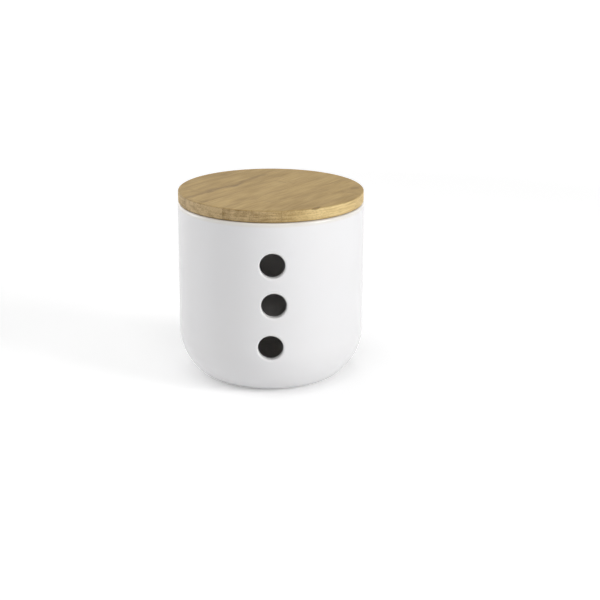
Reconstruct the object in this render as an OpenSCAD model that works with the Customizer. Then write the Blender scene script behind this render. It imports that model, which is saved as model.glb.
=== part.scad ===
// Garlic keeper: a round glazed crock with a column of vent holes, shut by a bamboo lid.
// The lid board is glued up from strips, with a round plug glued under it. The plug drops
// into the mouth of the crock, and a silicone ring in its groove holds it there.
// Millimetres. The origin is the middle of the foot, on the surface the crock stands on.
// +Z is up, and the vents face -Y.

/* [Crock] */
// Outside diameter of the straight side
crock_d = 120; // [100:1:144]
// Height from the table to the top of the rim
crock_h = 114.4; // [95:0.2:138]
// Thickness of the side wall
wall = 5; // [4:0.1:6.4]
// Thickness of the floor, above the foot ring
floor_t = 6; // [4.5:0.1:8]
// Radius that rounds each edge of the rim
rim_round = 1.6; // [0.8:0.1:1.9]

/* [Belly and foot] */
// How far the side draws in from the wall to the foot
belly_in = 23; // [20:0.5:28]
// Height at which the side starts to draw in
belly_h = 31; // [26:0.5:38]
// Radius of the tight curve next to the foot
belly_tight = 17; // [12:0.5:18]
// Width of the ring that the crock stands on
foot_w = 4; // [2.5:0.1:7]
// Depth of the hollow inside the foot ring
foot_recess = 1.4; // [0.6:0.1:2.5]

/* [Vent holes] */
// Diameter of each vent hole
vent_d = 15.8; // [10:0.1:19]
// Distance from one hole to the next
vent_pitch = 26.5; // [23:0.1:30]
// Height of the middle of the column
vent_mid_h = 61; // [55:0.5:66]
// Radius that the glaze gives the outer edge of each hole
vent_lip = 1.1; // [0.4:0.1:2]
// Sideways drift of each hand-cut hole, lowest first
vent_drift_x = [-1, 1, 0.1]; // [-2:0.1:2]
// Upward drift of each hand-cut hole, lowest first
vent_drift_z = [-0.3, 0.6, -0.3]; // [-1:0.1:1]

/* [Lid board] */
// Thickness of the board
lid_t = 7.6; // [6:0.1:10]
// How far the edge of the board stands in from the side of the crock
lid_setback = 0.35; // [0:0.05:2]
// Radius of the upper edge of the board
lid_top_round = 0.8; // [0.3:0.1:2]
// Radius of the lower edge of the board
lid_under_round = 1.2; // [0.3:0.1:2]
// Space left under the board, which stands on the fins of the ring
lid_gap = 0.2; // [0.1:0.05:0.6]

/* [Bamboo strips] */
// Width of a strip
strip_w = 17; // [14:0.1:20]
// Distance from the middle of the lid to the middle of the fourth strip
strip_shift = -2.9; // [-4:0.1:2]
// Direction of the grain, turned from +X towards +Y
grain_angle = 54; // [0:1:179]

/* [Plug] */
// Depth of the plug below the board
plug_t = 9; // [8:0.1:14]
// Space between the plug and the mouth of the crock
plug_clear = 2.4; // [1.9:0.1:4]
// Height of the groove for the ring
groove_h = 5; // [4:0.1:5.6]
// Depth of the groove for the ring
groove_depth = 2; // [1.2:0.1:3]
// Radius of the lower edge of the plug
plug_round = 1.2; // [0.3:0.1:1.5]

/* [Silicone ring] */
// Space between the ring and the groove
ring_fit = 0.1; // [0.05:0.05:0.2]
// How far the band of the ring stands out of the groove
ring_proud = 0.3; // [0.1:0.1:0.8]
// Space between the tips of the fins and the mouth of the crock
fin_fit = 0.15; // [0.1:0.05:0.3]
// Thickness of a fin at its root
fin_root_t = 0.9; // [0.6:0.1:1.2]
// Thickness of a fin at its tip
fin_tip_t = 0.5; // [0.3:0.1:0.6]
// Number of fins
fin_count = 2; // [1:1:2]
// Upward slope of the fins, in degrees
fin_slope = 32; // [10:1:45]

/* [Hidden] */
$fn = 128;
strip_count = 7;
vent_count = len(vent_drift_x);
side_r = crock_d / 2;
mouth_r = side_r - wall;
lid_r = side_r - lid_setback;
lid_z = crock_h + lid_gap;
plug_r = mouth_r - plug_clear;
groove_r = plug_r - groove_depth;
groove_z = lid_z - (plug_t + groove_h) / 2;
// How far a cut runs past the solid that it cuts
over = 1;
// Flats that each round is made of, in section
belly_steps = 8;
round_steps = 5;
lip_steps = 3;
// How far short of the wall's face the flare of a vent stops, in degrees: the wall is curved there
lip_slant = 25;

white_glaze = "White";
bamboo_tan = "BurlyWood";
clear_silicone = "Gainsboro";

// Points along an arc about a centre
function arc(centre, radius, from, to, steps) = [
    for (i = [0:steps])
        let (angle = from + (to - from) * i / steps)
            centre + radius * [cos(angle), sin(angle)]
];

// The same points in the other order
function backwards(points) = [for (i = [len(points) - 1:-1:0]) points[i]];

// Outline that a tight arc and an easy arc make, from a flat bottom up and out to a straight side,
// with no corner where they meet
function belly(radius, bottom_z, draw, rise, tight) =
    let (
        easy = (draw * draw + rise * rise - 2 * rise * tight) / (2 * (draw - tight)),
        tight_centre = [radius - draw, bottom_z + tight],
        easy_centre = [radius - easy, bottom_z + rise],
        to_meet = tight_centre - easy_centre,
        meet = atan2(to_meet.y, to_meet.x),
        shared = 1
    )
    concat(
        arc(tight_centre, tight, -90, meet, belly_steps),
        [for (i = [shared:belly_steps]) arc(easy_centre, easy, meet, 0, belly_steps)[i]]
    );

// Outline of the crock's section: under the foot, up the outside, over the rim and down the inside
function crock_outline() =
    let (rim_z = crock_h - rim_round, foot_in_r = side_r - belly_in - foot_w)
    concat(
        [[0, foot_recess], [foot_in_r, foot_recess], [foot_in_r, 0]],
        belly(side_r, 0, belly_in, belly_h, belly_tight),
        arc([side_r - rim_round, rim_z], rim_round, 0, 90, round_steps),
        arc([mouth_r + rim_round, rim_z], rim_round, 90, 180, round_steps),
        backwards(belly(mouth_r, floor_t, belly_in - wall, belly_h - floor_t, belly_tight - wall)),
        [[0, floor_t]]
    );

// One vent hole through the front wall, flared at its outer end as the glaze rounds it
module vent_hole() {
    bore_r = vent_d / 2;
    flare = arc([bore_r + vent_lip, vent_lip], vent_lip, 180, 270 - lip_slant, lip_steps);
    rotate([-90, 0, 0]) rotate_extrude() polygon(concat(
        [[0, wall + 3 * over], [bore_r, wall + 3 * over]],
        flare,
        [[flare[lip_steps].x + over, -over], [0, -over]]
    ));
}

// Thrown and glazed pot, open at the top, with the column of vents cut through its front
module crock() {
    color(white_glaze) difference() {
        rotate_extrude() polygon(crock_outline());
        for (i = [0:vent_count - 1]) {
            vent_z = vent_mid_h + (i - (vent_count - 1) / 2) * vent_pitch + vent_drift_z[i];
            translate([vent_drift_x[i], -side_r, vent_z]) vent_hole();
        }
    }
}

// Whole board of the lid, turned round with both edges eased
module lid_board() {
    top_z = lid_z + lid_t;
    rotate_extrude() polygon(concat(
        [[0, lid_z]],
        arc([lid_r - lid_under_round, lid_z + lid_under_round], lid_under_round, -90, 0, round_steps),
        arc([lid_r - lid_top_round, top_z - lid_top_round], lid_top_round, 0, 90, round_steps),
        [[0, top_z]]
    ));
}

// One strip of the board. The two outer strips take what the others leave
module lid_strip(i) {
    reach = lid_r + over;
    line = strip_shift + (i - (strip_count + 1) / 2) * strip_w;
    near = i == 1 ? -reach : line - strip_w / 2;
    far = i == strip_count ? reach : line + strip_w / 2;
    color(bamboo_tan) intersection() {
        lid_board();
        rotate([0, 0, grain_angle]) translate([-reach, -far, lid_z - over]) {
            cube([2 * reach, far - near, lid_t + 2 * over]);
        }
    }
}

// Round plug glued under the board, with a groove turned in its edge
module lid_plug() {
    bottom_z = lid_z - plug_t;
    color(bamboo_tan) rotate_extrude() polygon(concat(
        [[0, bottom_z]],
        arc([plug_r - plug_round, bottom_z + plug_round], plug_round, -90, 0, round_steps),
        [
            [plug_r, groove_z],
            [groove_r, groove_z],
            [groove_r, groove_z + groove_h],
            [plug_r, groove_z + groove_h],
            [plug_r, lid_z],
            [0, lid_z]
        ]
    ));
}

// Half section of a fin that slopes up and out from the band and ends in a round tip
module fin_section(root, tip) {
    along = (tip - root) / norm(tip - root);
    across = [-along.y, along.x];
    polygon([
        root + across * fin_root_t / 2,
        root - across * fin_root_t / 2,
        tip - across * fin_tip_t / 2,
        tip + across * fin_tip_t / 2
    ]);
    translate(tip) circle(d = fin_tip_t, $fn = 32);
}

// Silicone ring: a flat band seated in the groove, with fins bent up by the mouth
module seal_ring() {
    band_h = groove_h - 2 * ring_fit;
    band_in = groove_r + ring_fit;
    band_out = plug_r + ring_proud;
    tip_r = mouth_r - fin_fit - fin_tip_t / 2;
    root_r = band_out - fin_root_t / 2;
    rise = (tip_r - root_r) * tan(fin_slope);
    color(clear_silicone) rotate_extrude() {
        translate([band_in, groove_z + ring_fit]) square([band_out - band_in, band_h]);
        for (i = [1:fin_count]) {
            root_z = groove_z + ring_fit + band_h * (2 * i - 1) / (2 * fin_count) - rise / 2;
            fin_section([root_r, root_z], [tip_r, root_z + rise]);
        }
    }
}

crock();
seal_ring();
lid_plug();
for (i = [1:strip_count]) {
    lid_strip(i);
}
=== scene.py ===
import math

import bmesh
import bpy
from mathutils import Matrix, Vector


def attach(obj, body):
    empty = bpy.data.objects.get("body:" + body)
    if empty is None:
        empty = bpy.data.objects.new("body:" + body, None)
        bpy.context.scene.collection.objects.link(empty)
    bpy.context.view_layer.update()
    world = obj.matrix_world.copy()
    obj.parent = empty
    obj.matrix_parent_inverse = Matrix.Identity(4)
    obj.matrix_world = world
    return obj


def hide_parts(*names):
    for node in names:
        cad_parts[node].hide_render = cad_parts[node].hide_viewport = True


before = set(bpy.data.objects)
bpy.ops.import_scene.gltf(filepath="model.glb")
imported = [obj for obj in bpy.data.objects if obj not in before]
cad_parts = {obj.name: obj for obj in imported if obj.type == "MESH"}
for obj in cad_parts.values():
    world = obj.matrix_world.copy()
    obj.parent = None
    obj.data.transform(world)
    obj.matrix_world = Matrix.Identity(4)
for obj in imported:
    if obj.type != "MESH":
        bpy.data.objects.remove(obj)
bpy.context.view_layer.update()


# ------------------------------------------------------------------------------
# The crock. A pot of white stoneware, jollied in a mould, with three vents cut through its front
# while the clay was soft. It is dipped in white glaze and stands on a foot ring wiped bare, so
# that it doesn't stick to the kiln shelf.
# ------------------------------------------------------------------------------

# Sizes are written in millimetres, and a mesh is in metres
MM = 0.001
# Points nearer to each other than this are one point
CLOSE = 0.002 * MM

SIDE_R = 60.0
MOUTH_R = 55.0
WALL = SIDE_R - MOUTH_R
RIM_Z = 114.4
RIM_ROUND = 1.6
FLOOR_Z = 6.0
BELLY_IN = 23.0
BELLY_Z = 31.0
BELLY_TIGHT = 17.0
FOOT_W = 4.0
FOOT_RECESS = 1.4
FOOT_ROUND = 0.5
FOOT_ARRIS = 0.4
# A plain face keeps a row of points this far from its bend, so that it shades as plain
PLAIN = 3.0
# Rows of points at the start of the outer wall that are wiped bare with the foot
BARE_ROWS = 2
# Flats along the belly's tight bend, a rounded edge and a small arris, and columns round the pot
BEND_STEPS = 14
ROUND_STEPS = 8
ARRIS_STEPS = 4
POT_COLUMNS = 240

VENT_R = 7.9
VENT_LIP = 1.2
VENT_INNER_LIP = 0.6
INNER_LIP_STEPS = 6
VENT_HEIGHTS = (34.5, 61.0, 87.5)
# Sideways and upward drift of each hand-cut vent
VENT_DRIFTS = ((-1.0, -0.3), (1.0, 0.6), (0.1, -0.3))
# A vent sits in a patch of the wall, nearly square: half its height, its cells each way, and the
# angle from one column of them to the next
PATCH_HALF = 11.5
PATCH_CELLS = 16
PATCH_COLUMN = math.radians(360 / POT_COLUMNS)
# Where the loops of points round a vent lie, as shares of the way from the patch's edge to its
# lip, and of the way through the wall
PATCH_SHARES = (0.0, 0.3, 0.6, 0.85)
BORE_SHARES = (0.25, 0.5, 0.75)

GLAZE_WHITE = "#EFEFF1"
GLAZE_THIN = "#E8E4DE"
BISCUIT_PALE = "#DDD2C0"
BISCUIT_DARK = "#C4B59F"
# How thin the glaze is, from 0 on a plain face to 1 on a sharp edge
THIN_RIM = 1.0
THIN_FOOT = 0.5
THIN_LIP = 0.3
THIN_BORE = 0.1
# What the clouds in the coat and its thin places add to the warm tint, and the orange peel to
# the ripple
CLOUD_TINT = 0.25
THIN_TINT = 0.8
PEEL_SHARE = 0.12


def linear(colour):
    """Linear RGBA of an sRGB hex colour."""
    parts = [int(colour[i : i + 2], 16) / 255 for i in (1, 3, 5)]
    parts = [c / 12.92 if c <= 0.04045 else ((c + 0.055) / 1.055) ** 2.4 for c in parts]
    return (*parts, 1.0)


def add(tree, kind, settings=None, inputs=(), out=None):
    """Adds a node with its settings, sets or links its inputs, and gives the output that is named,
    or the first live one. A setting that is one word is the node's operation. The inputs are in
    the node's own order, or by name or place, and an input with many links takes a list."""
    node = tree.nodes.new(kind)
    if isinstance(settings, str):
        settings = {"operation": settings}
    for name, value in (settings or {}).items():
        setattr(node, name, value)
    for key, value in inputs.items() if isinstance(inputs, dict) else enumerate(inputs):
        if isinstance(key, int):
            socket = node.inputs[key]
        else:
            socket = next(s for s in node.inputs if s.name == key and s.enabled)
        for one in value if isinstance(value, list) else [value]:
            if isinstance(one, bpy.types.NodeSocket):
                tree.links.new(one, socket)
            else:
                socket.default_value = one
    return node.outputs[out] if out else next((s for s in node.outputs if s.enabled), None)


def emptied(owner):
    """The node tree of a material or a world, with nothing in it yet."""
    owner.use_nodes = True
    owner.node_tree.nodes.clear()
    return owner.node_tree


def arc(centre, radius, start, end, steps):
    """Points (r, z) along an arc, its angles in degrees from the outward direction."""
    turns = [math.radians(start + (end - start) * i / steps) for i in range(steps + 1)]
    return [(centre[0] + radius * math.cos(t), centre[1] + radius * math.sin(t)) for t in turns]


def easy_radius(draw, rise, tight):
    """Radius of the easy arc that joins the straight side to the tight bend by the foot."""
    return (draw * draw + rise * rise - 2 * rise * tight) / (2 * (draw - tight))


def helper(name, points, faces=(), values=None):
    """A mesh that only feeds a node tree: points in millimetres, with named numbers on them."""
    mesh = bpy.data.meshes.new(name)
    mesh.from_pydata([tuple(c * MM for c in p) for p in points], [], list(faces))
    for key, numbers in (values or {}).items():
        vector = hasattr(numbers[0], "__len__")
        layer = mesh.attributes.new(key, "FLOAT_VECTOR" if vector else "FLOAT", "POINT")
        for spot, number in zip(layer.data, numbers):
            setattr(spot, "vector" if vector else "value", number)
    holder = bpy.data.objects.new(name, mesh)
    bpy.context.scene.collection.objects.link(holder)
    return holder


def new_tree(name, inputs):
    """A Geometry Nodes tree with named inputs, and its Group Input's outputs."""
    tree = bpy.data.node_groups.new(name, "GeometryNodeTree")
    for label, kind in inputs.items():
        tree.interface.new_socket(name=label, in_out="INPUT", socket_type="NodeSocket" + kind)
    tree.interface.new_socket(name="Geometry", in_out="OUTPUT", socket_type="NodeSocketGeometry")
    return tree, tree.nodes.new("NodeGroupInput").outputs


def grown(name, tree, values):
    """A plain mesh piece made by a tree with these input values. The helpers among them then go."""
    piece = bpy.data.objects.new(name, bpy.data.meshes.new(name))
    bpy.context.scene.collection.objects.link(piece)
    modifier = piece.modifiers.new(tree.name, "NODES")
    modifier.node_group = tree
    for item in tree.interface.items_tree:
        if item.in_out == "INPUT":
            modifier[item.identifier] = values[item.name]
    graph = bpy.context.evaluated_depsgraph_get()
    made = bpy.data.meshes.new_from_object(
        piece.evaluated_get(graph), preserve_all_data_layers=True, depsgraph=graph
    )
    piece.modifiers.remove(modifier)
    piece.data = made
    made.name = name
    # Only the slots that a face uses stay
    slots = [face.material_index for face in made.polygons]
    used = {old: made.materials[old] for old in sorted(set(slots))}
    made.materials.clear()
    for material in used.values():
        made.materials.append(material)
    made.polygons.foreach_set("material_index", [list(used).index(old) for old in slots])
    for value in values.values():
        if isinstance(value, bpy.types.Object):
            bpy.data.objects.remove(value)
    shell = bmesh.new()
    shell.from_mesh(made)
    bmesh.ops.recalc_face_normals(shell, faces=shell.faces)
    shell.to_mesh(made)
    shell.free()
    return piece


# Turns a section round the axis, as a lathe or a potter's wheel does. Each point of the piece
# keeps the number of the section's point that it came from, under the name "row".
turning, given = new_tree("turned on an axis", {"Section": "Object", "Columns": "Int"})
section = add(turning, "GeometryNodeObjectInfo", None, {"Object": given["Section"]}, "Geometry")
rows = add(turning, "GeometryNodeAttributeDomainSize", None, {"Geometry": section})
around = add(turning, "FunctionNodeIntegerMath", "ADD", (given["Columns"], 1))
sheet = add(turning, "GeometryNodeMeshGrid", None, {"Vertices X": around, "Vertices Y": rows})
index = add(turning, "GeometryNodeInputIndex")
row = add(turning, "FunctionNodeIntegerMath", "FLOORED_MODULO", (index, rows))
column = add(turning, "FunctionNodeIntegerMath", "DIVIDE_FLOOR", (index, rows))
turn = add(turning, "ShaderNodeMath", "DIVIDE", (column, given["Columns"]))
turn = add(turning, "ShaderNodeMath", "MULTIPLY", (turn, math.tau))
point = add(
    turning,
    "GeometryNodeSampleIndex",
    {"data_type": "FLOAT_VECTOR"},
    {"Geometry": section, "Value": add(turning, "GeometryNodeInputPosition"), "Index": row},
)
point = add(turning, "ShaderNodeSeparateXYZ", None, (point,)).node.outputs
x = add(turning, "ShaderNodeMath", "COSINE", (turn,))
x = add(turning, "ShaderNodeMath", "MULTIPLY", (point["X"], x))
y = add(turning, "ShaderNodeMath", "SINE", (turn,))
y = add(turning, "ShaderNodeMath", "MULTIPLY", (point["X"], y))
place = add(turning, "ShaderNodeCombineXYZ", None, (x, y, point["Z"]))
shape = add(
    turning,
    "GeometryNodeStoreNamedAttribute",
    {"data_type": "INT"},
    {"Geometry": sheet, "Name": "row", "Value": row},
)
shape = add(turning, "GeometryNodeSetPosition", None, {"Geometry": shape, "Position": place})
shape = add(turning, "GeometryNodeMergeByDistance", None, {"Geometry": shape, "Distance": CLOSE})
add(turning, "NodeGroupOutput", None, {"Geometry": shape})

NUMBER = {"data_type": "FLOAT"}
# A named number that is more than this is a yes
YES = 0.9

# Turns the pot, cuts a patch out of its wall for each vent, and bends the flat plan of a vent
# onto the wall there. A point of the plan has its way sideways and up, a depth into the clay,
# and a share of the way through to the inside.
piercing, given = new_tree(
    "pierced and glazed",
    {
        "Section": "Object",
        "Columns": "Int",
        "Vent Plan": "Object",
        "Vent Places": "Object",
        "Half Angle": "Float",
        "Outer Radius": "Float",
        "Outer Easy Arc": "Float",
        "Inner Radius": "Float",
        "Inner Easy Arc": "Float",
        "Belly Height": "Float",
        "Glaze": "Material",
        "Biscuit": "Material",
    },
)
pot = {"Section": given["Section"], "Columns": given["Columns"]}
pot = add(piercing, "GeometryNodeGroup", {"node_tree": turning}, pot)
section, plan, places = (
    add(piercing, "GeometryNodeObjectInfo", None, {"Object": given[name]}, "Geometry")
    for name in ("Section", "Vent Plan", "Vent Places")
)
row = add(piercing, "GeometryNodeInputNamedAttribute", {"data_type": "INT"}, {"Name": "row"})
thin, bare, pierced, through, moves = (
    add(piercing, "GeometryNodeInputNamedAttribute", NUMBER, {"Name": name})
    for name in ("thin_glaze", "bare", "pierced", "through", "moves")
)
for name, value in (("thin_glaze", thin), ("bare", bare), ("pierced", pierced)):
    value = {"Geometry": section, "Value": value, "Index": row}
    value = add(piercing, "GeometryNodeSampleIndex", NUMBER, value)
    pot = {"Geometry": pot, "Name": name, "Value": value}
    pot = add(piercing, "GeometryNodeStoreNamedAttribute", NUMBER, pot)

# The patches in the front of the wall go
position = add(piercing, "GeometryNodeInputPosition")
flat = add(piercing, "ShaderNodeSeparateXYZ", None, (position,)).node.outputs
forward = add(piercing, "ShaderNodeMath", "MULTIPLY", (flat["Y"], -1.0))
bearing = add(piercing, "ShaderNodeMath", "ARCTAN2", (flat["X"], forward))
bearing = add(piercing, "ShaderNodeMath", "ABSOLUTE", (bearing,))
near = add(piercing, "ShaderNodeMath", "LESS_THAN", (bearing, given["Half Angle"]))
waste = add(piercing, "ShaderNodeMath", "GREATER_THAN", (pierced, YES))
waste = add(piercing, "ShaderNodeMath", "MULTIPLY", (near, waste))
pot = {"Geometry": pot, "Selection": waste}
pot = add(piercing, "GeometryNodeDeleteGeometry", {"domain": "FACE"}, pot)
# The plan of a vent comes at each place, and drifts there, but for the edge of its patch
vents = add(piercing, "GeometryNodeInstanceOnPoints", None, {"Points": places, "Instance": plan})
vents = add(piercing, "GeometryNodeRealizeInstances", None, {"Geometry": vents})
drift = {"data_type": "FLOAT_VECTOR"}
drift = add(piercing, "GeometryNodeInputNamedAttribute", drift, {"Name": "drift"})
drift = add(piercing, "ShaderNodeVectorMath", "SCALE", {0: drift, "Scale": moves})
vents = add(piercing, "GeometryNodeSetPosition", None, {"Geometry": vents, "Offset": drift})

# Each point of a vent is laid on the outer face and on the inner one, and goes between the two
drop = add(piercing, "ShaderNodeMath", "SUBTRACT", (given["Belly Height"], flat["Z"]))
drop = add(piercing, "ShaderNodeMath", "MAXIMUM", (drop, 0.0))
faces = []
for side in ("Outer", "Inner"):
    radius, easy = given[side + " Radius"], given[side + " Easy Arc"]
    dip = add(piercing, "ShaderNodeMath", "DIVIDE", (drop, easy))
    dip = add(piercing, "ShaderNodeMath", "ARCSINE", (dip,))
    dip = add(piercing, "ShaderNodeMath", "COSINE", (dip,))
    dip = add(piercing, "ShaderNodeMath", "SUBTRACT", (dip, 1.0))
    wall = add(piercing, "ShaderNodeMath", "MULTIPLY_ADD", (dip, easy, radius))
    sideways = add(piercing, "ShaderNodeMath", "DIVIDE", (flat["X"], radius))
    turn = add(piercing, "ShaderNodeMath", "ARCSINE", (sideways,))
    ahead = add(piercing, "ShaderNodeMath", "COSINE", (turn,))
    ahead = add(piercing, "ShaderNodeMath", "MULTIPLY", (ahead, wall))
    ahead = add(piercing, "ShaderNodeMath", "MULTIPLY", (ahead, -1.0))
    sideways = add(piercing, "ShaderNodeMath", "MULTIPLY", (sideways, wall))
    faces.append(add(piercing, "ShaderNodeCombineXYZ", None, (sideways, ahead, flat["Z"])))
onto = {"Factor": through, "A": faces[0], "B": faces[1]}
onto = add(piercing, "ShaderNodeMix", {"data_type": "VECTOR"}, onto)
depth = add(piercing, "ShaderNodeCombineXYZ", None, {"Y": flat["Y"]})
onto = add(piercing, "ShaderNodeVectorMath", "ADD", (onto, depth))
vents = add(piercing, "GeometryNodeSetPosition", None, {"Geometry": vents, "Position": onto})

whole = add(piercing, "GeometryNodeJoinGeometry", None, {"Geometry": [pot, vents]})
whole = add(piercing, "GeometryNodeMergeByDistance", None, {"Geometry": whole, "Distance": CLOSE})
whole = add(piercing, "GeometryNodeSetShadeSmooth", None, {"Geometry": whole})
whole = add(piercing, "GeometryNodeRealizeInstances", None, {"Geometry": whole})
whole = {"Geometry": whole, "Material": given["Glaze"]}
whole = add(piercing, "GeometryNodeSetMaterial", None, whole)
wiped = add(piercing, "ShaderNodeMath", "GREATER_THAN", (bare, YES))
whole = {"Geometry": whole, "Selection": wiped, "Material": given["Biscuit"]}
whole = add(piercing, "GeometryNodeSetMaterial", None, whole)
add(piercing, "NodeGroupOutput", None, {"Geometry": whole})

COLOURS = {"data_type": "RGBA"}

# Glazed stoneware: an opaque tin-white glass, fired glossy but not mirror-like. It gives a clean
# white with broad soft reflections, a faint ripple where it ran, and a warmer tint on the edges,
# where the glaze is thin.
glaze = bpy.data.materials.new("white glaze on stoneware")
t = emptied(glaze)
spot = add(t, "ShaderNodeTexCoord", out="Object")
# Clouds in the thickness of the coat, some 36 mm across
cloud = add(t, "ShaderNodeTexNoise", None, {"Vector": spot, "Scale": 28.0, "Detail": 2.0})
cloud = add(t, "ShaderNodeMath", "MULTIPLY", (cloud, CLOUD_TINT))
thin = add(t, "ShaderNodeAttribute", {"attribute_name": "thin_glaze"}, out="Fac")
thin = add(t, "ShaderNodeMath", "MULTIPLY_ADD", (thin, THIN_TINT, cloud))
colour = {"Factor": thin, "A": linear(GLAZE_WHITE), "B": linear(GLAZE_THIN)}
colour = add(t, "ShaderNodeMix", COLOURS, colour)
# Runs in the glaze, 6 to 10 mm from one to the next, and its fine orange peel, 1.4 mm
ripple = add(t, "ShaderNodeTexNoise", None, {"Vector": spot, "Scale": 120.0, "Detail": 1.0})
peel = add(t, "ShaderNodeTexNoise", None, {"Vector": spot, "Scale": 700.0, "Detail": 2.0})
height = add(t, "ShaderNodeMath", "MULTIPLY_ADD", (peel, PEEL_SHARE, ripple))
relief = {"Height": height, "Strength": 0.35, "Distance": 0.06 * MM}
gloss = {
    "Base Color": colour,
    "Roughness": add(t, "ShaderNodeMapRange", None, (cloud, 0.0, 1.0, 0.24, 0.34)),
    "Normal": add(t, "ShaderNodeBump", None, relief),
    "IOR": 1.52,
}
shader = add(t, "ShaderNodeBsdfPrincipled", None, gloss)
add(t, "ShaderNodeOutputMaterial", None, {"Surface": shader})

# Biscuit: fired clay without glaze, on the ring that the pot stands on. It is matt and cream,
# with fine sandy grit, 0.4 mm from grain to grain.
biscuit = bpy.data.materials.new("bare stoneware biscuit")
t = emptied(biscuit)
spot = add(t, "ShaderNodeTexCoord", out="Object")
grit = add(t, "ShaderNodeTexNoise", None, {"Vector": spot, "Scale": 2500.0, "Detail": 3.0})
colour = {"Factor": grit, "A": linear(BISCUIT_PALE), "B": linear(BISCUIT_DARK)}
relief = {"Height": grit, "Strength": 0.6, "Distance": 0.1 * MM}
matt = {
    "Base Color": add(t, "ShaderNodeMix", COLOURS, colour),
    "Roughness": 0.85,
    "Normal": add(t, "ShaderNodeBump", None, relief),
}
shader = add(t, "ShaderNodeBsdfPrincipled", None, matt)
add(t, "ShaderNodeOutputMaterial", None, {"Surface": shader})


def wall_heights():
    """Heights of the section's points up the wall, and whether each bounds a pierced cell."""
    heights = []
    for i, middle in enumerate(VENT_HEIGHTS):
        low = middle - PATCH_HALF
        heights += [(low + 2 * PATCH_HALF * k / PATCH_CELLS, 1.0) for k in range(PATCH_CELLS + 1)]
        if i + 1 < len(VENT_HEIGHTS):
            heights.append(((middle + VENT_HEIGHTS[i + 1]) / 2, 0.0))
    return heights


def finished(points, thin=0.0, bare=0.0):
    """Points (r, z, thin glaze, bare, pierced) for a stretch of the section that isn't pierced."""
    return [(r, z, thin, bare, 0.0) for r, z in points]


def wall_points(radius, bottom, draw, tight):
    """A wall from its bottom to its straight top: its tight bend, its easy arc, and the rows that
    the vents are cut between."""
    easy = easy_radius(draw, BELLY_Z - bottom, tight)
    bend_centre = (radius - draw, bottom + tight)
    easy_centre = (radius - easy, BELLY_Z)
    meet = math.atan2(bend_centre[1] - easy_centre[1], bend_centre[0] - easy_centre[0])
    meet = math.degrees(meet)
    first = wall_heights()[0][0]
    at_first = math.degrees(math.asin((first - BELLY_Z) / easy))
    points = arc(bend_centre, tight, -90, meet, BEND_STEPS)[:-1]
    points += arc(easy_centre, easy, meet, at_first, ROUND_STEPS)[:-1]
    points = finished(points)
    for z, pierced in wall_heights():
        drop = max(0.0, BELLY_Z - z)
        points.append((radius - easy + math.sqrt(easy * easy - drop**2), z, 0.0, 0.0, pierced))
    return points


foot_r = SIDE_R - BELLY_IN
recess_r = foot_r - FOOT_W
under = [(0, FOOT_RECESS), (recess_r - PLAIN, FOOT_RECESS)]
hollow_edge = (recess_r - FOOT_ROUND, FOOT_RECESS - FOOT_ROUND)
under += arc(hollow_edge, FOOT_ROUND, 90, 0, ARRIS_STEPS)
foot = arc((recess_r + FOOT_ARRIS, FOOT_ARRIS), FOOT_ARRIS, 180, 270, ARRIS_STEPS)
outside = wall_points(SIDE_R, 0.0, BELLY_IN, BELLY_TIGHT)
foot += [p[:2] for p in outside[:BARE_ROWS]]
rim = arc((SIDE_R - RIM_ROUND, RIM_Z - RIM_ROUND), RIM_ROUND, 0, 90, ROUND_STEPS)
rim += arc((MOUTH_R + RIM_ROUND, RIM_Z - RIM_ROUND), RIM_ROUND, 90, 180, ROUND_STEPS)
inside = wall_points(MOUTH_R, FLOOR_Z, BELLY_IN - WALL, BELLY_TIGHT - WALL)
outline = finished(under) + finished(foot, THIN_FOOT, 1.0) + outside[BARE_ROWS:]
outline += finished([(SIDE_R, RIM_Z - PLAIN)]) + finished(rim, THIN_RIM)
outline += finished([(MOUTH_R, RIM_Z - PLAIN)]) + inside[::-1]
outline += finished([(foot_r - 2 * PLAIN, FLOOR_Z), (0, FLOOR_Z)])
names = ("thin_glaze", "bare", "pierced")
pot_section = helper(
    "pot_section",
    [(p[0], 0, p[1]) for p in outline],
    values={name: [p[i] for p in outline] for i, name in enumerate(names, 2)},
)


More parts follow.
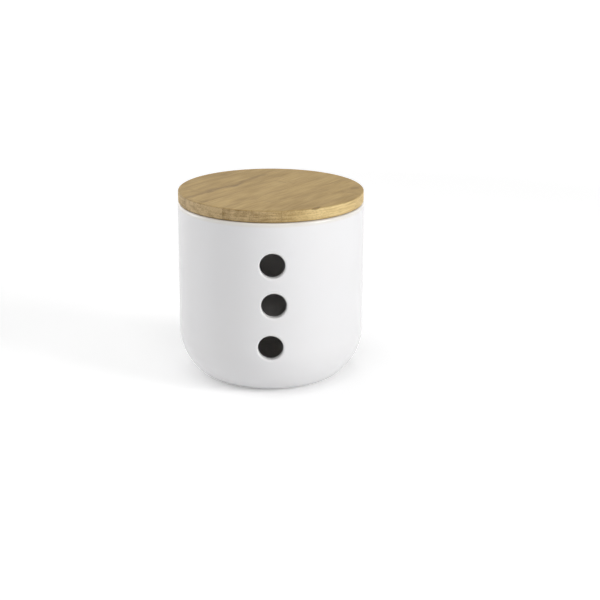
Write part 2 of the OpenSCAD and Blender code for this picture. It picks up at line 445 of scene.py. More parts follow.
def vent_loops():
    """Loops of the plan of one vent, from the edge of its patch on the outside, through the clay,
    to the edge of its patch inside. Each point is (sideways, depth, up, through, moves, thin)."""
    count = 4 * PATCH_CELLS

    def edge(radius):
        """Round the edge of the patch, from its lower right corner."""
        half = PATCH_CELLS // 2
        corners = []
        for quarter in range(4):
            for k in range(PATCH_CELLS):
                a, b = half, k - half
                for _ in range(quarter):
                    a, b = -b, a
                corners.append((radius * math.sin(a * PATCH_COLUMN), b * PATCH_HALF / half))
        return corners

    def ring(radius):
        """Round a circle, from the side of the same corner."""
        turns = [math.tau * (k / count - 1 / 8) for k in range(count)]
        return [(radius * math.cos(t), radius * math.sin(t)) for t in turns]

    def loop(points, depth, through, moves, thin):
        return [(px, depth, pz, through, moves, thin) for px, pz in points]

    def between(a, b, share):
        return [tuple(p + (q - p) * share for p, q in zip(m, n)) for m, n in zip(a, b)]

    loops = []
    flare = ring(VENT_R + VENT_LIP)
    for share in PATCH_SHARES:
        loops.append(loop(between(edge(SIDE_R), flare, share), 0.0, 0.0, share, 0.0))
    for k in range(ROUND_STEPS + 1):
        turn = math.radians(90 * k / ROUND_STEPS)
        lip = ring(VENT_R + VENT_LIP * (1 - math.sin(turn)))
        depth = VENT_LIP * (1 - math.cos(turn))
        loops.append(loop(lip, depth, 0.0, 1.0, THIN_LIP * k / ROUND_STEPS))
    for share in BORE_SHARES:
        loops.append(loop(ring(VENT_R), 0.0, share, 1.0, THIN_BORE))
    for k in range(INNER_LIP_STEPS + 1):
        turn = math.radians(90 * k / INNER_LIP_STEPS)
        lip = ring(VENT_R + VENT_INNER_LIP * (1 - math.cos(turn)))
        depth = -VENT_INNER_LIP * (1 - math.sin(turn))
        loops.append(loop(lip, depth, 1.0, 1.0, THIN_LIP))
    flare = ring(VENT_R + VENT_INNER_LIP)
    for share in PATCH_SHARES[::-1]:
        loops.append(loop(between(edge(MOUTH_R), flare, share), 0.0, 1.0, share, 0.0))
    return loops


loops = vent_loops()
count = len(loops[0])
quads = []
for start in range(0, count * (len(loops) - 1), count):
    for k in range(count):
        n = (k + 1) % count
        quads.append((start + k, start + n, start + count + n, start + count + k))
points = [p for one in loops for p in one]
names = ("through", "moves", "thin_glaze")
vent_plan = helper(
    "vent_plan",
    [p[:3] for p in points],
    quads,
    {name: [p[i] for p in points] for i, name in enumerate(names, 3)},
)
vent_places = helper(
    "vent_places",
    [(0, 0, height) for height in VENT_HEIGHTS],
    values={"drift": [(dx * MM, 0, dz * MM) for dx, dz in VENT_DRIFTS]},
)
crock = grown(
    "crock_glazed",
    piercing,
    {
        "Section": pot_section,
        "Columns": POT_COLUMNS,
        "Vent Plan": vent_plan,
        "Vent Places": vent_places,
        "Half Angle": PATCH_COLUMN * PATCH_CELLS / 2,
        "Outer Radius": SIDE_R * MM,
        "Outer Easy Arc": easy_radius(BELLY_IN, BELLY_Z, BELLY_TIGHT) * MM,
        "Inner Radius": MOUTH_R * MM,
        "Inner Easy Arc": easy_radius(BELLY_IN - WALL, BELLY_Z - FLOOR_Z, BELLY_TIGHT - WALL) * MM,
        "Belly Height": BELLY_Z * MM,
        "Glaze": glaze,
        "Biscuit": biscuit,
    },
)
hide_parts("crock")
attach(crock, "crock")


# ------------------------------------------------------------------------------
# The seven strips of the lid's board. Slats of bamboo culm, planed, glued edge to edge, and
# turned round as one board with both edges eased. The grain of all of them runs one way, and the
# knuckles of each slat and the glue lines between them stay visible.
# ------------------------------------------------------------------------------

LID_R = 59.65
LID_Z = 114.6
LID_T = 7.6
LID_TOP_ROUND = 0.8
LID_UNDER_ROUND = 1.2
# A flat face keeps a row of points this far from its rounded edge
MARGIN = 0.5
BOARD_COLUMNS = 240
GRAIN = math.radians(54)
STRIP_W = 17.0
STRIP_SHIFT = -2.9
# How far the outer strips' slabs run past the board, and half the length of every slab
PAST_BOARD = 1.0
SAW_REACH = LID_R + 3
# An edge that turns by more than this stays a sharp corner
SHARP = math.radians(40)

BAMBOO_PALE = "#BB9D63"
BAMBOO_DEEP = "#997C44"
BAMBOO_PALE_EDGE = "#E8CF96"
BAMBOO_DEEP_EDGE = "#D0B47C"
BAMBOO_PALE_END = "#C8AE82"
BAMBOO_DEEP_END = "#977D52"
BAMBOO_BROWN = "#6C5229"
# Most of a noise texture's values lie between these
NOISE_SPAN = (0.3, 0.7)
# Half width of a knuckle, how far round it the fibres bend, and how far they swell at a strong one
KNUCKLE_HALF = 3.0
SWELL_REACH = 9.0
SWELL = 1.1
# Bundles of fibre: how long they are, and from one to the next
BUNDLE_LONG = 55
BUNDLE_GAP = 0.9
# Length over which a dark fibre comes in at its start and goes at its end
FIBRE_COMES = 10
FIBRE_GOES = 14
# Way in from the joint at which a glue line starts and is full: drawn coarse here, to show
GLUE_EDGE = 0.4
GLUE_FULL = 0.05
# How far each kind of unevenness takes the wood from its own tone towards pale or deep
STREAK_TONE = 0.24
GROWTH_TONE = 0.13
BROAD_TONE = 0.34
ROWS_TONE = 0.5
BLOTCH_TONE = 0.34
# Share of brown in a bundle of fibre along the grain and across it, a knuckle, an eased edge and
# a glue line
BUNDLE_BROWN_ALONG = 0.2
BUNDLE_BROWN_ACROSS = 0.42
KNUCKLE_BROWN = 0.55
EDGE_BROWN = 0.8
GLUE_BROWN = 0.4


def corners_kept(tree, shape, material):
    """The end of a tree: the shape is smooth but for its corners, real, and has its material."""
    shape = add(tree, "GeometryNodeSetShadeSmooth", None, {"Geometry": shape})
    corner = add(tree, "GeometryNodeInputMeshEdgeAngle")
    corner = add(tree, "ShaderNodeMath", "GREATER_THAN", (corner, SHARP))
    shape = {"Geometry": shape, "Selection": corner, "Shade Smooth": False}
    shape = add(tree, "GeometryNodeSetShadeSmooth", {"domain": "EDGE"}, shape)
    shape = add(tree, "GeometryNodeRealizeInstances", None, {"Geometry": shape})
    shape = add(tree, "GeometryNodeSetMaterial", None, {"Geometry": shape, "Material": material})
    add(tree, "NodeGroupOutput", None, {"Geometry": shape})


# Cuts one strip out of the turned board. The grain lies along the slab that is kept.
sawing, given = new_tree(
    "strip sawn from the board",
    {
        "Section": "Object",
        "Columns": "Int",
        "Near Joint": "Float",
        "Far Joint": "Float",
        "Middle Height": "Float",
        "Grain Angle": "Float",
        "Reach": "Float",
        "Material": "Material",
    },
)
board = {"Section": given["Section"], "Columns": given["Columns"]}
board = add(sawing, "GeometryNodeGroup", {"node_tree": turning}, board)
width = add(sawing, "ShaderNodeMath", "SUBTRACT", (given["Far Joint"], given["Near Joint"]))
middle = add(sawing, "ShaderNodeMath", "ADD", (given["Far Joint"], given["Near Joint"]))
middle = add(sawing, "ShaderNodeMath", "MULTIPLY", (middle, -0.5))
length = add(sawing, "ShaderNodeMath", "MULTIPLY", (given["Reach"], 2.0))
size = add(sawing, "ShaderNodeCombineXYZ", None, (length, width, given["Reach"]))
slab = add(sawing, "GeometryNodeMeshCube", None, {"Size": size})
across = add(sawing, "ShaderNodeCombineXYZ", None, {"Y": middle, "Z": given["Middle Height"]})
slab = add(sawing, "GeometryNodeTransform", None, {"Geometry": slab, "Translation": across})
turn = add(sawing, "ShaderNodeCombineXYZ", None, {"Z": given["Grain Angle"]})
slab = add(sawing, "GeometryNodeTransform", None, {"Geometry": slab, "Rotation": turn})
cut = {"operation": "INTERSECT", "solver": "EXACT"}
strip = add(sawing, "GeometryNodeMeshBoolean", cut, {1: [board, slab]})
strip = add(sawing, "GeometryNodeMergeByDistance", None, {"Geometry": strip, "Distance": CLOSE})
corners_kept(sawing, strip, given["Material"])

EASED = {"interpolation_type": "SMOOTHSTEP"}


def bamboo(
    name, middle, half, seed, tone, end_tone=0.0, knuckles=(), streaks=(), eyes=(), grain=GRAIN
):
    """Planed and oiled bamboo: a satin, straight-grained tan, browner on its end grain and paler
    where a curved edge runs beside the grain. It has brown bundles of fibre, soft wavy knuckles
    across, and a faint glue line each side. The middle and half width are the slat's, across the
    grain. Its tone runs from 0, pale, to 1, deep, and its end grain is deeper by the end tone.
    A knuckle is (way along, strength). A streak is a dark fibre that bends round a knuckle: (way
    across, its bend, where the bend is, its reach, start, end, half width, strength). An eye is
    the scar of a bud: (way along, way across, half length, half width, strength, share in its
    middle)."""
    made = bpy.data.materials.new(name)
    t = emptied(made)
    # Millimetres: X along the grain, Y across it from the middle of the slat, Z up
    spot = {
        "Vector": add(t, "ShaderNodeTexCoord", out="Object"),
        "Location": Vector((math.sin(grain) * middle, -math.cos(grain) * middle, LID_Z)) * MM,
        "Rotation": (0, 0, grain),
        "Scale": (MM, MM, MM),
    }
    spot = add(t, "ShaderNodeMapping", {"vector_type": "TEXTURE"}, spot)
    way = add(t, "ShaderNodeSeparateXYZ", None, (spot,)).node.outputs

    def mottling(vector, lumps, shift, low, high, detail=2.0):
        """Uneven growth from low to high, in lumps of these sizes in mm along, across and up."""
        growth = tuple(1 / size for size in lumps)
        cloud = {"Vector": vector, "Location": shift, "Scale": growth}
        cloud = {"Vector": add(t, "ShaderNodeMapping", None, cloud), "Scale": 1.0, "Detail": detail}
        cloud = add(t, "ShaderNodeTexNoise", None, cloud)
        return add(t, "ShaderNodeMapRange", None, (cloud, *NOISE_SPAN, low, high))

    # The culm is never quite straight: its fibres wander by a millimetre or two
    swell = mottling(spot, (38, 14, 14), (seed, seed * 2.3, 0), -0.8, 0.8, 1.0)
    # Knuckles: a soft band across, 4 to 6 mm wide, that fades here and there and that the fibres
    # swell round
    band = 0.0
    for along, strength in knuckles:
        wave = mottling(spot, (50, 5, 6), (seed + along, 0, 0), -2.4, 2.4)
        fade = mottling(spot, (30, 4, 4), (seed, along, seed), 0.1, 1.0)
        off = add(t, "ShaderNodeMath", "ADD", (way["X"], wave))
        off = add(t, "ShaderNodeMath", "SUBTRACT", (off, along))
        off = add(t, "ShaderNodeMath", "ABSOLUTE", (off,))
        core = add(t, "ShaderNodeMapRange", EASED, (off, 0.3, KNUCKLE_HALF, strength, 0.0))
        band = add(t, "ShaderNodeMath", "MULTIPLY_ADD", (core, fade, band))
        bulge = (off, 0.0, SWELL_REACH, SWELL * strength, 0.0)
        bulge = add(t, "ShaderNodeMapRange", EASED, bulge)
        swell = add(t, "ShaderNodeMath", "ADD", (swell, bulge))
    shift = add(t, "ShaderNodeCombineXYZ", None, {"Y": swell, "Z": swell})
    fibre = add(t, "ShaderNodeVectorMath", "ADD", (spot, shift))
    # Bundles of fibre
    growth = (1 / BUNDLE_LONG, 1 / BUNDLE_GAP, 1 / BUNDLE_GAP)
    bundle = {"Vector": fibre, "Location": (seed, seed, seed), "Scale": growth}
    bundle = {"Vector": add(t, "ShaderNodeMapping", None, bundle), "Scale": 1.0, "Randomness": 1.0}
    bundle = add(t, "ShaderNodeTexVoronoi", None, bundle)
    bundle = add(t, "ShaderNodeMapRange", EASED, (bundle, 0.14, 0.46, 1.0, 0.0))
    # Fine streaks, drawn as coarse as 0.5 mm to show, growth 3 mm wide and broad tones 8 mm wide.
    # On the edge come the rows in which the bundles lie, a millimetre apart, and on the end grain
    # blotches where the oil soaked in
    streak = mottling(fibre, (26, 0.5, 0.5), (0, seed * 3.1, seed), -STREAK_TONE, STREAK_TONE, 3.0)
    growth = mottling(fibre, (45, 2.6, 3), (seed * 1.7, seed, 0), -GROWTH_TONE, GROWTH_TONE)
    broad = mottling(fibre, (27, 8, 12), (seed, seed * 0.7, seed), -BROAD_TONE, BROAD_TONE)
    rows = mottling(spot, (16, 11, 0.9), (seed, 0, seed), -ROWS_TONE, ROWS_TONE)
    low, high = end_tone - BLOTCH_TONE, end_tone + BLOTCH_TONE
    blotch = mottling(spot, (9, 5, 3.2), (seed, seed, 0), low, high)

    # How far a face is upright, how far it looks along the grain, and how far beside it
    normal = add(t, "ShaderNodeNewGeometry", out="Normal")
    up = add(t, "ShaderNodeSeparateXYZ", None, (normal,), "Z")
    up = add(t, "ShaderNodeMath", "MULTIPLY", (up, up))
    upright = add(t, "ShaderNodeMath", "SUBTRACT", (1.0, up))
    ends = (normal, (math.cos(grain), math.sin(grain), 0))
    ends = add(t, "ShaderNodeVectorMath", "DOT_PRODUCT", ends, "Value")
    ends = add(t, "ShaderNodeMath", "MULTIPLY", (ends, ends))
    beside = {"operation": "SUBTRACT", "use_clamp": True}
    beside = add(t, "ShaderNodeMath", beside, (upright, ends))
    crossed = add(t, "ShaderNodeMapRange", EASED, (ends, 0.12, 0.92, 0.0, 1.0))
    shade = add(t, "ShaderNodeMath", "ADD", (streak, tone))
    shade = add(t, "ShaderNodeMath", "ADD", (shade, growth))
    shade = add(t, "ShaderNodeMath", "ADD", (shade, broad))
    shade = add(t, "ShaderNodeMath", "MULTIPLY_ADD", (rows, upright, shade))
    blotched = {"operation": "MULTIPLY_ADD", "use_clamp": True}
    shade = add(t, "ShaderNodeMath", blotched, (blotch, crossed, shade))
    tans = []
    for face, edge, end in (
        (BAMBOO_PALE, BAMBOO_PALE_EDGE, BAMBOO_PALE_END),
        (BAMBOO_DEEP, BAMBOO_DEEP_EDGE, BAMBOO_DEEP_END),
    ):
        tan = {"Factor": beside, "A": linear(face), "B": linear(edge)}
        tan = add(t, "ShaderNodeMix", COLOURS, tan)
        tan = {"Factor": crossed, "A": tan, "B": linear(end)}
        tans.append(add(t, "ShaderNodeMix", COLOURS, tan))
    colour = {"Factor": shade, "A": tans[0], "B": tans[1]}
    colour = add(t, "ShaderNodeMix", COLOURS, colour)

    # Bundles show most where the cut crosses them, and eased edges are made browner
    brown = (ends, 0.0, 1.0, BUNDLE_BROWN_ALONG, BUNDLE_BROWN_ACROSS)
    brown = add(t, "ShaderNodeMapRange", EASED, brown)
    brown = add(t, "ShaderNodeMath", "MULTIPLY", (brown, bundle))
    eased = add(t, "ShaderNodeMath", "MULTIPLY", (up, upright))
    brown = add(t, "ShaderNodeMath", "MULTIPLY_ADD", (eased, EDGE_BROWN, brown))
    brown = add(t, "ShaderNodeMath", "MULTIPLY_ADD", (band, KNUCKLE_BROWN, brown))
    # Dark fibres that the oil brings out, broken up along their way
    for across, bend, at, reach, start, end, wide, strength in streaks:
        off = add(t, "ShaderNodeMath", "SUBTRACT", (way["X"], at))
        off = add(t, "ShaderNodeMath", "ABSOLUTE", (off,))
        line = add(t, "ShaderNodeMapRange", EASED, (off, 0.0, reach, across + bend, across))
        off = add(t, "ShaderNodeMath", "SUBTRACT", (way["Y"], line))
        wave = mottling(spot, (9, 3, 3), (seed, 1, 2), -0.5 * wide, 0.5 * wide)
        off = add(t, "ShaderNodeMath", "SUBTRACT", (off, wave))
        off = add(t, "ShaderNodeMath", "ABSOLUTE", (off,))
        line = add(t, "ShaderNodeMapRange", EASED, (off, 0.1 * wide, wide, strength, 0.0))
        comes = (way["X"], start, start + FIBRE_COMES, 0.0, 1.0)
        goes = (way["X"], end - FIBRE_GOES, end, 1.0, 0.0)
        for share in (comes, goes):
            share = add(t, "ShaderNodeMapRange", EASED, share)
            line = add(t, "ShaderNodeMath", "MULTIPLY", (line, share))
        broken = mottling(spot, (11, 6, 6), (seed, 3, 4), 0.45, 1.0)
        line = add(t, "ShaderNodeMath", "MULTIPLY", (line, broken))
        brown = add(t, "ShaderNodeMath", "MAXIMUM", (brown, line))
    # Bud scars, shallow in the wood: a dark ring round a middle of its own tone
    for at, across, long, wide, strength, core in eyes:
        far = add(t, "ShaderNodeVectorMath", "SUBTRACT", (spot, (at, across, LID_T)))
        sizes = (1 / long, 1 / wide, 1 / (0.6 * wide))
        far = add(t, "ShaderNodeVectorMath", "MULTIPLY", (far, sizes))
        far = add(t, "ShaderNodeVectorMath", "LENGTH", (far,), "Value")
        wave = mottling(spot, (2, 1.5, 2), (seed, 5, 6), -0.2, 0.2)
        far = add(t, "ShaderNodeMath", "ADD", (far, wave))
        inner = add(t, "ShaderNodeMapRange", EASED, (far, 0.7, 1.2, core, 1.0))
        brown = add(t, "ShaderNodeMath", "MULTIPLY", (brown, inner))
        scar = add(t, "ShaderNodeMapRange", EASED, (far, 0.3, 0.9, core * strength, strength))
        outer = add(t, "ShaderNodeMapRange", EASED, (far, 1.0, 1.7, 1.0, 0.0))
        scar = add(t, "ShaderNodeMath", "MULTIPLY", (scar, outer))
        brown = add(t, "ShaderNodeMath", "MAXIMUM", (brown, scar))
    # Glue lines that come and go along the joint
    side = add(t, "ShaderNodeMath", "ABSOLUTE", (way["Y"],))
    glue = (side, half - GLUE_EDGE, half - GLUE_FULL, 0.0, GLUE_BROWN)
    glue = add(t, "ShaderNodeMapRange", EASED, glue)
    some = mottling(fibre, (22, 3, 5), (seed, 7, 8), 0.0, 1.0)
    glue = add(t, "ShaderNodeMath", "MULTIPLY", (glue, some))
    glued = {"operation": "MAXIMUM", "use_clamp": True}
    brown = add(t, "ShaderNodeMath", glued, (brown, glue))
    colour = {"Factor": brown, "A": colour, "B": linear(BAMBOO_BROWN)}

    relief = add(t, "ShaderNodeMath", "MULTIPLY_ADD", (bundle, 0.3, streak))
    relief = {"Height": relief, "Strength": 0.3, "Distance": 0.1 * MM}
    rough = (streak, -STREAK_TONE, STREAK_TONE, 0.5, 0.62)
    satin = {
        "Base Color": add(t, "ShaderNodeMix", COLOURS, colour),
        "Roughness": add(t, "ShaderNodeMapRange", None, rough),
        "Normal": add(t, "ShaderNodeBump", None, relief),
        "IOR": 1.48,
        "Specular IOR Level": 0.3,
    }
    shader = add(t, "ShaderNodeBsdfPrincipled", None, satin)
    add(t, "ShaderNodeOutputMaterial", None, {"Surface": shader})
    return made


top_z = LID_Z + LID_T
under_round = (LID_R - LID_UNDER_ROUND, LID_Z + LID_UNDER_ROUND)
top_round = (LID_R - LID_TOP_ROUND, top_z - LID_TOP_ROUND)
board_outline = [(0, LID_Z), (under_round[0] - MARGIN, LID_Z)]
board_outline += arc(under_round, LID_UNDER_ROUND, 270, 360, ROUND_STEPS)
board_outline += arc(top_round, LID_TOP_ROUND, 0, 90, ROUND_STEPS)
board_outline += [(top_round[0] - MARGIN, top_z), (0, top_z)]

# Each slat's own seed, tones, knuckles, dark fibres and bud scars, from strip 1 to strip 7
SLATS = (
    {"seed": 3.0, "tone": 0.62, "knuckles": ((14.0, 0.4),)},
    {
        "seed": 11.0,
        "tone": 0.6,
        "knuckles": ((-34.0, 0.35),),
        "streaks": (
            (-8.3, 0.0, 0.0, 10.0, -58.0, -14.0, 2.8, 0.56),
            (-8.6, 0.0, 0.0, 10.0, 10.0, 40.0, 2.0, 0.4),
        ),
    },
    {
        "seed": 23.0,
        "tone": 0.52,
        "end_tone": -0.25,
        "knuckles": ((-53.0, 0.55), (30.0, 0.35)),
        "streaks": ((8.2, -3.7, -6.0, 22.0, -58.0, 40.0, 3.5, 0.7),),
        "eyes": ((-10.5, 5.4, 2.6, 1.4, 0.6, 0.2),),
    },
    {"seed": 31.0, "tone": 0.4, "end_tone": -0.15, "knuckles": ((20.0, 0.45),)},
    {"seed": 43.0, "tone": 0.38, "end_tone": 0.12, "knuckles": ((-30.0, 0.3),)},
    {"seed": 57.0, "tone": 0.45, "end_tone": 0.14, "knuckles": ((16.0, 0.3),)},
    {
        "seed": 61.0,
        "tone": 0.5,
        "knuckles": ((19.0, 0.4),),
        "eyes": ((-28.0, -2.6, 4.4, 1.1, 0.65, 1.0), (32.0, 6.6, 2.6, 1.8, 0.35, 1.0)),
    },
)
for number, slat in enumerate(SLATS, 1):
    line = STRIP_SHIFT + (number - (len(SLATS) + 1) / 2) * STRIP_W
    near = line - STRIP_W / 2 if number > 1 else -LID_R - PAST_BOARD
    far = line + STRIP_W / 2 if number < len(SLATS) else LID_R + PAST_BOARD
    strip = grown(
        f"lid_strip_{number}_bamboo",
        sawing,
        {
            "Section": helper("board_section", [(r, 0, z) for r, z in board_outline]),
            "Columns": BOARD_COLUMNS,
            "Near Joint": near * MM,
            "Far Joint": far * MM,
            "Middle Height": (LID_Z + LID_T / 2) * MM,
            "Grain Angle": GRAIN,
            "Reach": SAW_REACH * MM,
            "Material": bamboo(
                f"oiled bamboo slat {number}", (near + far) / 2, (far - near) / 2, **slat
            ),
        },
    )
    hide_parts(f"lid_strip_{number}")
    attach(strip, "lid")


# ------------------------------------------------------------------------------
# The plug. A second, smaller disc of bamboo glued under the board with its grain across, so that
# the lid stays flat. It is turned to drop into the mouth, and grooved for the silicone ring.
# ------------------------------------------------------------------------------

PLUG_R = 52.6
PLUG_Z = 105.6
PLUG_ROUND = 1.2
PLUG_ARRIS = 0.3
PLUG_COLUMNS = 200
GROOVE_R = 50.6
GROOVE_Z = 107.6
GROOVE_H = 5.0
# The plug is one wide slat, whose joints would lie past its edge
PLUG_HALF = 70.0

turned, given = new_tree(
    "turned and smoothed", {"Section": "Object", "Columns": "Int", "Material": "Material"}
)
shape = {"Section": given["Section"], "Columns": given["Columns"]}
shape = add(turned, "GeometryNodeGroup", {"node_tree": turning}, shape)
corners_kept(turned, shape, given["Material"])

groove_top = GROOVE_Z + GROOVE_H
arris_r = PLUG_R - PLUG_ARRIS
plug_outline = [(0, PLUG_Z), (PLUG_R - PLUG_ROUND - MARGIN, PLUG_Z)]
plug_outline += arc((PLUG_R - PLUG_ROUND, PLUG_Z + PLUG_ROUND), PLUG_ROUND, 270, 360, ROUND_STEPS)
plug_outline += arc((arris_r, GROOVE_Z - PLUG_ARRIS), PLUG_ARRIS, 0, 90, ARRIS_STEPS)
plug_outline += [(GROOVE_R, GROOVE_Z), (GROOVE_R, groove_top)]
plug_outline += arc((arris_r, groove_top + PLUG_ARRIS), PLUG_ARRIS, 270, 360, ARRIS_STEPS)
plug_outline += [(PLUG_R, LID_Z), (0, LID_Z)]
plug = grown(
    "lid_plug_bamboo",
    turned,
    {
        "Section": helper("plug_section", [(r, 0, z) for r, z in plug_outline]),
        "Columns": PLUG_COLUMNS,
        "Material": bamboo("oiled bamboo plug", 0, PLUG_HALF, 71.0, 0.5, grain=GRAIN + math.pi / 2),
    },
)
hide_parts("lid_plug")
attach(plug, "lid")


# ------------------------------------------------------------------------------
# The silicone ring. One moulded ring of clear, slightly milky silicone, stretched into the groove
# of the plug. Its two fins bend up as the lid goes in, and hold it in the mouth.
# ------------------------------------------------------------------------------

RING_FIT = 0.1
RING_PROUD = 0.3
RING_CORNER = 0.25
RING_CORNER_STEPS = 3
RING_COLUMNS = 200
FIN_COUNT = 2
FIN_FIT = 0.15
FIN_ROOT_T = 0.9
FIN_TIP_T = 0.5
FIN_SLOPE = 32.0
# Share of its root thickness that a fin still has where it leaves the band
FIN_NECK = 0.94
# Fillet between the band and a fin: points out from the band's face and away from the fin, then
# where it runs out on the fin's upper and lower face
FILLET = ((0.0, 0.35), (0.09, 0.12))
FILLET_END_UP = (0.28, 0.12)
FILLET_END_DOWN = (0.3, 0.06)

SILICONE_CLEAR = "#E9E9E5"
SILICONE_MILKY = "#DCDCD6"


def ring_outline():
    """The ring's section as a closed line: up its bore, over the top, and down round each fin."""
    low = GROOVE_Z + RING_FIT
    high = GROOVE_Z + GROOVE_H - RING_FIT
    bore = GROOVE_R + RING_FIT
    face = PLUG_R + RING_PROUD
    slope = math.radians(FIN_SLOPE)
    tip_r = MOUTH_R - FIN_FIT - FIN_TIP_T / 2
    root_r = face - FIN_ROOT_T / 2
    rise = (tip_r - root_r) * math.tan(slope)

    def corner(r, z, start):
        return arc((r, z), RING_CORNER, start, start - 90, RING_CORNER_STEPS)

    line = corner(bore + RING_CORNER, low + RING_CORNER, 270)
    line += corner(bore + RING_CORNER, high - RING_CORNER, 180)
    line += corner(face - RING_CORNER, high - RING_CORNER, 90)
    for i in range(FIN_COUNT, 0, -1):
        root_z = low + (high - low) * (2 * i - 1) / (2 * FIN_COUNT) - rise / 2
        leave_z = root_z + (face - root_r) * math.tan(slope)
        for side in (1, -1):
            half = side * FIN_ROOT_T / 2 * FIN_NECK
            r, z = face - math.sin(slope) * half, leave_z + math.cos(slope) * half
            fillet = [(face + out, z + side * away) for out, away in FILLET]
            if side > 0:
                line += fillet + [(r + FILLET_END_UP[0], z + FILLET_END_UP[1])]
                tip = (tip_r, root_z + rise)
                line += arc(tip, FIN_TIP_T / 2, FIN_SLOPE + 90, FIN_SLOPE - 90, ROUND_STEPS)
            else:
                line += [(r + FILLET_END_DOWN[0], z + FILLET_END_DOWN[1])] + fillet[::-1]
    line += corner(face - RING_CORNER, low + RING_CORNER, 360)
    return line + line[:1]


# Silicone rubber, moulded in a fine-blasted tool: soft, milky, half clear and dull on its
# surface, so light glows a little way into it and its highlights are wide.
silicone = bpy.data.materials.new("milky silicone rubber")
t = emptied(silicone)
spot = add(t, "ShaderNodeTexCoord", out="Object")
# Milky clouds some 11 mm across, and the blasting of the tool, 0.3 mm from pit to pit
cloud = add(t, "ShaderNodeTexNoise", None, {"Vector": spot, "Scale": 90.0, "Detail": 2.0})
blast = add(t, "ShaderNodeTexNoise", None, {"Vector": spot, "Scale": 3000.0, "Detail": 1.0})
colour = {"Factor": cloud, "A": linear(SILICONE_CLEAR), "B": linear(SILICONE_MILKY)}
relief = {"Height": blast, "Strength": 0.3, "Distance": 0.04 * MM}
rubber = {
    "Base Color": add(t, "ShaderNodeMix", COLOURS, colour),
    "Roughness": add(t, "ShaderNodeMapRange", None, (cloud, 0.0, 1.0, 0.42, 0.55)),
    "Normal": add(t, "ShaderNodeBump", None, relief),
    "IOR": 1.41,
    "Transmission Weight": 0.45,
    "Subsurface Weight": 0.4,
    "Subsurface Scale": 1.5 * MM,
}
shader = add(t, "ShaderNodeBsdfPrincipled", None, rubber)
add(t, "ShaderNodeOutputMaterial", None, {"Surface": shader})

ring = grown(
    "seal_ring_silicone",
    turned,
    {
        "Section": helper("ring_section", [(r, 0, z) for r, z in ring_outline()]),
        "Columns": RING_COLUMNS,
        "Material": silicone,
    },
)
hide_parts("seal_ring")
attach(ring, "seal_ring")


# ------------------------------------------------------------------------------
# The studio: a wide sheet of white paper under soft lamps to the right, in front and above, with
# white cards to the left and behind and pale room light. The camera stands a metre off and looks
# down by 17 degrees.
# ------------------------------------------------------------------------------

# Lengths are in metres here
FLOOR_HALF = 6.0
FLOOR_WHITE = "#F2F2F2"
WHITE = (1, 1, 1, 1)
ROOM_LIGHT = 0.13
# The paper's own glow, where 1 is plain white: the two distances from the pot's middle between
# which it changes, and its strength at each
# Near the pot the glow is weaker, which is a painted shadow round its foot
PAINTED_SHADOW_GLOW = (0.06, 0.16, 0.25, 0.35)
GLOW_BEHIND = (0.6, 1.5, 0.0, 0.65)
# Height on the pot that the lamps look at
LAMP_AIM = 0.06
# Each lamp: its bearing from the front towards the right and its height, in degrees, how far off
# it is and how wide, in metres, and its power in watts
LAMPS = {
    "soft_lamp_right": (62, 20, 1.6, 0.6, 12.6),
    "soft_lamp_front": (0, 20, 1.6, 1.1, 4.2),
    "soft_lamp_above": (-10, 70, 1.6, 1.1, 7.2),
    "card_left": (-106, 15, 1.6, 1.0, 9.0),
    "card_back_left": (-150, 20, 1.6, 1.1, 4.5),
    "card_back_right": (135, 20, 1.6, 1.1, 2.2),
    "card_behind": (178, 55, 1.6, 0.9, 2.2),
}
# Where the camera stands, which way it looks, how far it is rolled, and its focal length in mm
CAMERA_PLACE = (-0.01097, -0.95428, 0.34647)
CAMERA_AHEAD = (0.02997, 0.95363, -0.2993)
CAMERA_ROLL = math.radians(0.257)
CAMERA_LENS = 91.268


def seen(tree):
    """1 for a ray from the camera or by way of a shiny or clear surface, and 0 for lighting."""
    rays = add(tree, "ShaderNodeLightPath").node.outputs
    either = add(tree, "ShaderNodeMath", "MAXIMUM", (rays["Is Camera Ray"], rays["Is Glossy Ray"]))
    return add(tree, "ShaderNodeMath", "MAXIMUM", (either, rays["Is Transmission Ray"]))


corners = [(x * FLOOR_HALF, y * FLOOR_HALF, 0) for x, y in ((-1, -1), (1, -1), (1, 1), (-1, 1))]
floor_mesh = bpy.data.meshes.new("studio_floor")
floor_mesh.from_pydata(corners, [], [(0, 1, 2, 3)])
floor = bpy.data.objects.new("studio_floor", floor_mesh)
bpy.context.scene.collection.objects.link(floor)
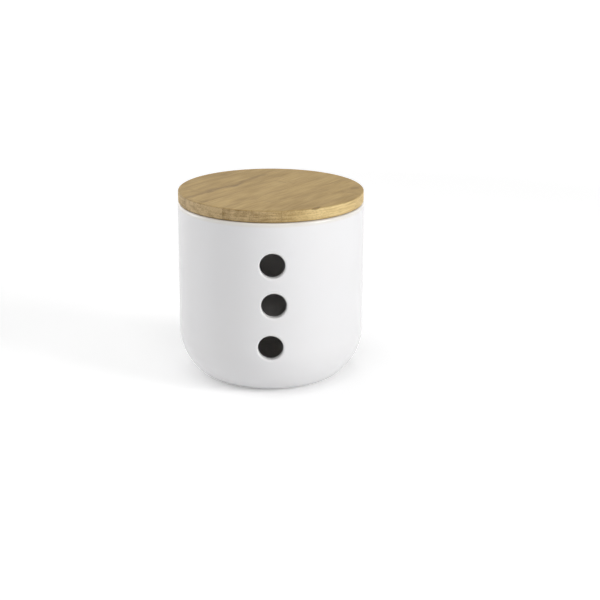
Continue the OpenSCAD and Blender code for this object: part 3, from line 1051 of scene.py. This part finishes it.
# White paper, matt. Its glow brings it up to plain white in two steps: one round the pot, kept
# lower close to it as a painted shadow, and one farther off, where the lamps' light falls away
paper = bpy.data.materials.new("white paper floor")
t = emptied(paper)
reach = add(t, "ShaderNodeTexCoord", out="Object")
reach = add(t, "ShaderNodeVectorMath", "LENGTH", (reach,), "Value")
# Painted shadow: close to the pot the glow is lower, so the paper is darker round its foot
painted_shadow_by_pot = add(t, "ShaderNodeMapRange", None, (reach, *PAINTED_SHADOW_GLOW))
behind = add(t, "ShaderNodeMapRange", None, (reach, *GLOW_BEHIND))
glow = add(t, "ShaderNodeMath", "ADD", (painted_shadow_by_pot, behind))
glow = add(t, "ShaderNodeMath", "MULTIPLY", (seen(t), glow))
lit = add(t, "ShaderNodeBsdfDiffuse", None, {"Color": linear(FLOOR_WHITE)})
bright = add(t, "ShaderNodeEmission", None, {"Color": WHITE, "Strength": glow})
both = add(t, "ShaderNodeAddShader", None, (lit, bright))
add(t, "ShaderNodeOutputMaterial", None, {"Surface": both})
floor_mesh.materials.append(paper)

world = bpy.data.worlds.new("pale room")
bpy.context.scene.world = world
t = emptied(world)
level = {"Factor": seen(t), "A": ROOM_LIGHT, "B": 1.0}
level = add(t, "ShaderNodeMix", NUMBER, level)
air = add(t, "ShaderNodeBackground", None, {"Color": WHITE, "Strength": level})
add(t, "ShaderNodeOutputWorld", None, {"Surface": air})

for name, (bearing, rise, far, size, power) in LAMPS.items():
    lamp = bpy.data.lights.new(name, "AREA")
    lamp.size = size
    lamp.energy = power
    a, e = math.radians(bearing), math.radians(rise)
    away = Vector((math.sin(a) * math.cos(e), -math.cos(a) * math.cos(e), math.sin(e)))
    holder = bpy.data.objects.new(name, lamp)
    holder.location = away * far + Vector((0, 0, LAMP_AIM))
    holder.rotation_euler = away.to_track_quat("Z", "Y").to_euler()
    bpy.context.scene.collection.objects.link(holder)

camera = bpy.data.cameras.new("camera")
camera.sensor_width = 36.0
camera.lens = CAMERA_LENS
camera.clip_end = 50.0
stand = bpy.data.objects.new("camera", camera)
ahead = Vector(CAMERA_AHEAD).normalized()
level_right = ahead.cross(Vector((0, 0, 1))).normalized()
level_up = level_right.cross(ahead)
right = level_right * math.cos(CAMERA_ROLL) + level_up * math.sin(CAMERA_ROLL)
up = level_up * math.cos(CAMERA_ROLL) - level_right * math.sin(CAMERA_ROLL)
turn = Matrix((right, up, -ahead)).transposed().to_4x4()
stand.matrix_world = Matrix.Translation(CAMERA_PLACE) @ turn
bpy.context.scene.collection.objects.link(stand)
bpy.context.scene.camera = stand
bpy.context.scene.view_settings.view_transform = "Standard"
